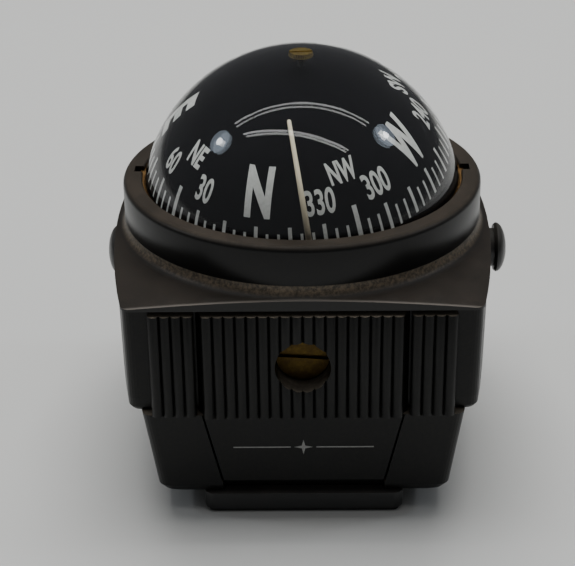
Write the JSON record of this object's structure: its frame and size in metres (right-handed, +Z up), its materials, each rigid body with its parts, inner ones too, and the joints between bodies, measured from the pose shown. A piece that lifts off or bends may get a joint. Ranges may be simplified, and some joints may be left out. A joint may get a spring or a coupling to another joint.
{
  "type": "binnacle compass",
  "caption": "Small dash-top binnacle compass: liquid-filled dome with gimballed card, bezel ring, ribbed black case, two bracket studs and a narrow foot.",
  "frame": {"origin": "centre of the underside of the foot pad, on the surface the compass stands on", "axes": "+Z up through the dome's apex, -Y towards the reader in front of the ribbed name panel, +X towards the reader's right"},
  "size_m": [0.0854, 0.0794, 0.0879],
  "materials": {
    "case_black": "semi-gloss black moulded plastic with light dust",
    "panel_black": "semi-gloss black moulded plastic",
    "deck_plastic": "matte black plastic, dusty grey-brown on upward faces",
    "steel": "plated",
    "foot_plastic": "matte",
    "pad_rubber": "matte",
    "stud_black": "semi-gloss",
    "amber_seal": "aged amber seal",
    "dome_clear": "polished clear",
    "brass": "slightly tarnished",
    "black_rubber": "matte",
    "bowl_black": "matte",
    "lubber_cream": "satin cream",
    "grey_metal": "satin",
    "card_black": "satin black with white markings",
    "float_cream": "matte",
    "magnet_grey": "dull",
    "jewel_red": "polished"
  },
  "bodies": {
    "case": {"body_shell": "case_black", "front_panel": "panel_black", "rear_panel": "panel_black", "top_cover": "deck_plastic", "case_screws": "steel", "bottom_cover": "case_black", "bottom_screws": "steel", "foot_plate": "foot_plastic", "foot_screws": "steel", "foot_pad": "pad_rubber", "stud_left": "stud_black", "stud_right": "stud_black", "stud_nuts": "steel", "bezel_ring": "deck_plastic", "dome_gasket": "amber_seal", "dome_lens": "dome_clear", "keeper_screw": "brass", "card_stop": "bowl_black", "capsule_seal": "black_rubber", "capsule_bowl": "bowl_black", "lubber_ring": "bowl_black", "lubber_pin": "lubber_cream", "pivot_stand": "grey_metal", "diaphragm": "black_rubber", "diaphragm_cap": "grey_metal", "diaphragm_screws": "steel", "fill_plug": "brass", "fill_washer": "black_rubber", "adjuster_block": "grey_metal", "block_screws": "steel"},
    "gimbal": {"gimbal_ring": "brass", "gimbal_pins": "steel"},
    "pivot_cradle": {"cradle": "grey_metal", "cradle_pins": "steel", "counterweight": "brass", "pivot_pin": "steel"},
    "card": {"compass_card": "card_black", "card_float": "float_cream", "card_magnets": "magnet_grey", "jewel": "jewel_red"},
    "fore_adjuster_shaft": {"fore_adjuster": "brass", "fore_magnets": "magnet_grey", "fore_clip": "steel"},
    "side_adjuster_shaft": {"side_adjuster": "brass", "side_magnets": "magnet_grey", "side_clip": "steel"}
  },
  "joints": [
    {"name": "card_pitch", "type": "hinge", "parent": "case", "child": "gimbal", "pos_m": [0, 0, 0.0543], "axis": [1, 0, 0], "range_deg": [-15, 15]},
    {"name": "card_roll", "type": "hinge", "parent": "gimbal", "child": "pivot_cradle", "pos_m": [0, 0, 0.0543], "axis": [0, 1, 0], "range_deg": [-15, 15]},
    {"name": "card_turn", "type": "hinge", "parent": "pivot_cradle", "child": "card", "pos_m": [0, 0, 0.0543], "axis": [0, 0, 1], "continuous": true},
    {"name": "fore_adjust", "type": "hinge", "parent": "case", "child": "fore_adjuster_shaft", "pos_m": [0, -0.0348, 0.0366], "axis": [0, 1, 0], "continuous": true},
    {"name": "side_adjust", "type": "hinge", "parent": "case", "child": "side_adjuster_shaft", "pos_m": [0.034, 0, 0.03275], "axis": [1, 0, 0], "continuous": true}
  ]
}
